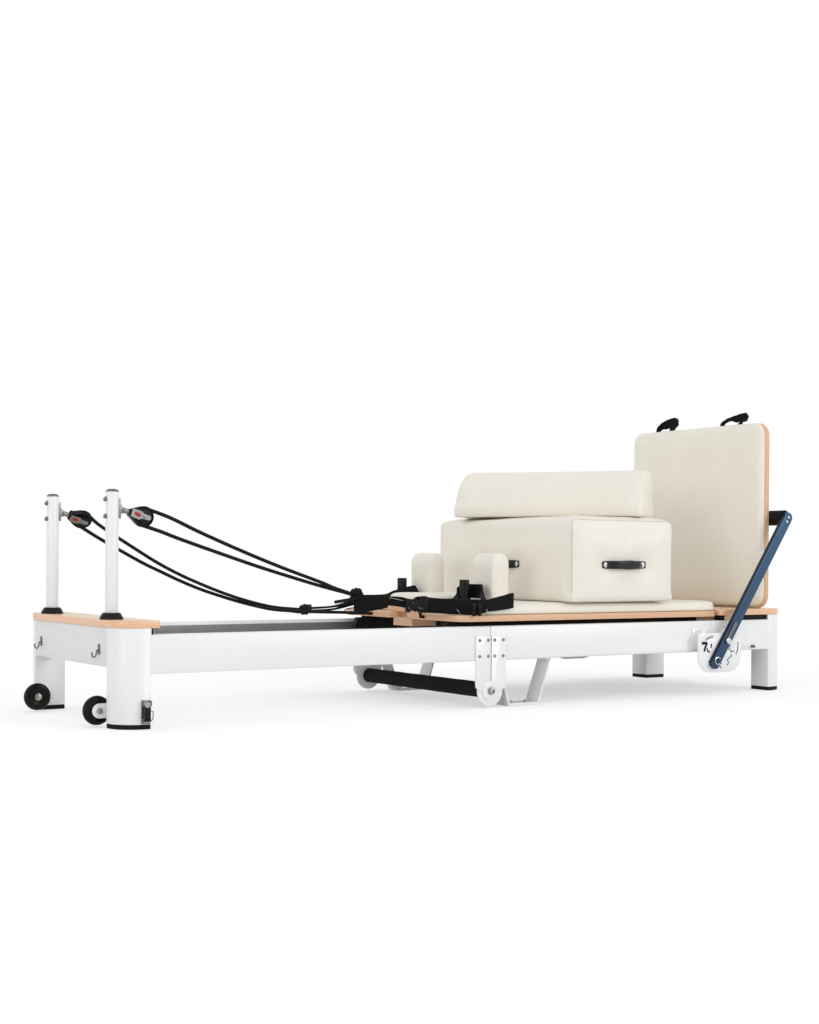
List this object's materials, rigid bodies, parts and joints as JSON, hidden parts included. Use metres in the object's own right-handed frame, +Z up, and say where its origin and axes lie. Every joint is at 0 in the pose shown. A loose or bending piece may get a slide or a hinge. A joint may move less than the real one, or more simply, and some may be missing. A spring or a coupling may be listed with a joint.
{
  "type": "folding pilates reformer",
  "caption": "Folding exercise bed with a rolling padded carriage, rope pulleys on posts, a footbar, an upright jump board, and a sitting box with a bolster",
  "frame": {"origin": "on the floor, at the middle of the bounding box", "axes": "+X along the frame from the pulley end to the foot end, +Y across it to the far side, +Z up"},
  "size_m": [2.4624, 0.7802, 0.9231],
  "materials": {
    "white_paint": "satin white powder coat",
    "wood": "clear varnished light ply",
    "cream_leather": "soft matt artificial leather",
    "black_rubber": "matt",
    "black_plastic": "satin",
    "black_foam": "matt closed-cell foam",
    "steel": "bright zinc plated",
    "black_steel": "black powder coat",
    "blue_paint": "dark blue metallic paint",
    "webbing": "woven cord and webbing"
  },
  "bodies": {
    "head_frame": {"head_rail_near": "white_paint", "head_rail_far": "white_paint", "head_leg_near": "white_paint", "head_leg_far": "white_paint", "head_foot_near": "black_rubber", "head_foot_far": "black_rubber", "head_end_beam": "white_paint", "head_deck": "wood", "post_near": "white_paint", "post_far": "white_paint", "post_collar_near": "black_plastic", "post_collar_far": "black_plastic", "hinge_plate_head_near": "white_paint", "hinge_plate_head_far": "white_paint", "hinge_bar": "black_foam", "hinge_shaft": "steel", "rope_near": "webbing", "rope_far": "webbing"},
    "foot_frame": {"foot_rail_near": "white_paint", "foot_rail_far": "white_paint", "foot_leg_near": "white_paint", "foot_leg_far": "white_paint", "foot_foot_near": "black_rubber", "foot_foot_far": "black_rubber", "foot_end_beam": "white_paint", "foot_deck": "wood", "hinge_plate_foot_near": "white_paint", "hinge_plate_foot_far": "white_paint", "support_foot_near": "white_paint", "support_foot_far": "white_paint", "footbar_plate_near": "white_paint", "footbar_plate_far": "white_paint"},
    "carriage": {"carriage_board": "wood", "carriage_pad": "cream_leather", "carriage_chassis": "black_steel", "spring_set": "steel", "hand_loop_near": "webbing", "hand_loop_far": "webbing"},
    "rollers_head": {"carriage_rollers_head": "black_rubber"},
    "rollers_foot": {"carriage_rollers_foot": "black_rubber"},
    "headrest": {"headrest_board": "wood", "headrest_pad": "cream_leather"},
    "shoulder_rest_near": {"shoulder_rest_near": "cream_leather"},
    "shoulder_rest_far": {"shoulder_rest_far": "cream_leather"},
    "sitting_box": {"sitting_box": "cream_leather"},
    "bolster": {"bolster": "cream_leather"},
    "jump_board": {"jump_board": "wood", "jump_pad": "cream_leather"},
    "footbar": {"footbar_lever_near": "blue_paint", "footbar_lever_far": "blue_paint", "footbar_grip": "black_foam"},
    "footbar_lock_near": {"footbar_lock_near": "steel"},
    "footbar_lock_far": {"footbar_lock_far": "steel"},
    "latch": {"latch_lever": "steel"},
    "pulley_near": {"pulley_block_near": "steel"},
    "pulley_far": {"pulley_block_far": "steel"},
    "sheave_near": {"sheave_near": "black_plastic"},
    "sheave_far": {"sheave_far": "black_plastic"},
    "transport_wheel_near": {"transport_wheel_near": "black_plastic"},
    "transport_wheel_far": {"transport_wheel_far": "black_plastic"}
  },
  "joints": [
    {"name": "frame_fold", "type": "hinge", "parent": "head_frame", "child": "foot_frame", "pos_m": [-0.02415, 0, 0.05], "axis": [0, 1, 0], "range_deg": [0, 180]},
    {"name": "carriage_slide", "type": "slide", "parent": "head_frame", "child": "carriage", "axis": [-1, 0, 0], "range_m": [0, 0.9], "deforming": ["rope_near", "rope_far", "hand_loop_near", "hand_loop_far"]},
    {"name": "headrest_tilt", "type": "hinge", "parent": "carriage", "child": "headrest", "pos_m": [0.13835, 0, 0.2705], "axis": [0, 1, 0], "range_deg": [0, 35]},
    {"name": "shoulder_rest_near_lift", "type": "slide", "parent": "carriage", "child": "shoulder_rest_near", "axis": [0, 0, 1], "range_m": [0, 0.12]},
    {"name": "shoulder_rest_far_lift", "type": "slide", "parent": "carriage", "child": "shoulder_rest_far", "axis": [0, 0, 1], "range_m": [0, 0.12]},
    {"name": "sitting_box_lift", "type": "slide", "parent": "carriage", "child": "sitting_box", "axis": [0, 0, 1], "range_m": [0, 0.25]},
    {"name": "bolster_lift", "type": "slide", "parent": "sitting_box", "child": "bolster", "axis": [0, 0, 1], "range_m": [0, 0.25]},
    {"name": "jump_board_lift", "type": "slide", "parent": "foot_frame", "child": "jump_board", "axis": [0, 0, 1], "range_m": [0, 0.2]},
    {"name": "footbar_swing", "type": "hinge", "parent": "foot_frame", "child": "footbar", "pos_m": [0.85685, 0, 0.112], "axis": [0, 1, 0], "range_deg": [0, 55]},
    {"name": "footbar_lock_near_slide", "type": "slide", "parent": "footbar", "child": "footbar_lock_near", "axis": [0.575, 0, 0.8181], "range_m": [0, 0.012], "stiffness_N_per_m": 300, "springref_m": -0.01},
    {"name": "footbar_lock_far_slide", "type": "slide", "parent": "footbar", "child": "footbar_lock_far", "axis": [0.575, 0, 0.8181], "range_m": [0, 0.012], "stiffness_N_per_m": 300, "springref_m": -0.01},
    {"name": "latch_swing", "type": "hinge", "parent": "head_frame", "child": "latch", "pos_m": [-1.11015, -0.3435, 0.066], "axis": [-1, 0, 0], "range_deg": [0, 150]},
    {"name": "pulley_near_swivel", "type": "hinge", "parent": "head_frame", "child": "pulley_near", "pos_m": [-1.11315, -0.2125, 0.554], "axis": [0.9613, 0, -0.2756], "range_deg": [-25, 25], "deforming": ["rope_near"]},
    {"name": "sheave_near_spin", "type": "hinge", "parent": "pulley_near", "child": "sheave_near", "pos_m": [-1.06701, -0.2125, 0.54077], "axis": [0, 1, 0], "continuous": true},
    {"name": "pulley_far_swivel", "type": "hinge", "parent": "head_frame", "child": "pulley_far", "pos_m": [-1.11315, 0.2125, 0.554], "axis": [0.9613, 0, -0.2756], "range_deg": [-25, 25], "deforming": ["rope_far"]},
    {"name": "sheave_far_spin", "type": "hinge", "parent": "pulley_far", "child": "sheave_far", "pos_m": [-1.06701, 0.2125, 0.54077], "axis": [0.1844, 0.7431, 0.6432], "continuous": true},
    {"name": "transport_wheel_near_spin", "type": "hinge", "parent": "head_frame", "child": "transport_wheel_near", "pos_m": [-1.19315, -0.2175, 0.042], "axis": [0, 1, 0], "continuous": true},
    {"name": "transport_wheel_far_spin", "type": "hinge", "parent": "head_frame", "child": "transport_wheel_far", "pos_m": [-1.19315, 0.2175, 0.042], "axis": [0, 1, 0], "continuous": true},
    {"name": "rollers_head_spin", "type": "hinge", "parent": "carriage", "child": "rollers_head", "pos_m": [-0.03565, 0, 0.1853], "axis": [0, 1, 0], "continuous": true},
    {"name": "rollers_foot_spin", "type": "hinge", "parent": "carriage", "child": "rollers_foot", "pos_m": [0.82015, 0, 0.1853], "axis": [0, 1, 0], "continuous": true}
  ],
  "couplings": [
    {"joint": "rollers_head_spin", "follows": "carriage_slide", "rad_per_m": -45.455},
    {"joint": "rollers_foot_spin", "follows": "carriage_slide", "rad_per_m": -45.455}
  ]
}
